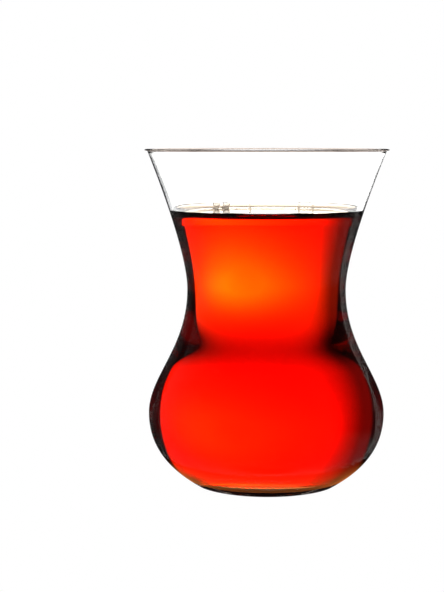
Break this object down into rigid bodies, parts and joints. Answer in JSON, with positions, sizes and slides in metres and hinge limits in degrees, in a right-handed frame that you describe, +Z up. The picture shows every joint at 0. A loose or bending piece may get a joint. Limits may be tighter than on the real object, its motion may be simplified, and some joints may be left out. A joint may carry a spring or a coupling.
{
  "type": "glass of turkish tea",
  "caption": "Tulip-waisted tea glass with a small foot, a round belly and a thin flared rim, filled with black tea to just under the flare.",
  "frame": {"origin": "centre of the flat ring that the glass stands on", "axes": "+Z up along the axis of the glass; the glass is turned round it"},
  "size_m": [0.0646, 0.0646, 0.0896],
  "materials": {
    "clear_glass": "clear, smooth, fire-polished",
    "black_tea": "clear dark red-brown liquid, deep orange where light shines through"
  },
  "bodies": {
    "root": {"glass": "clear_glass", "tea": "black_tea"}
  },
  "joints": []
}
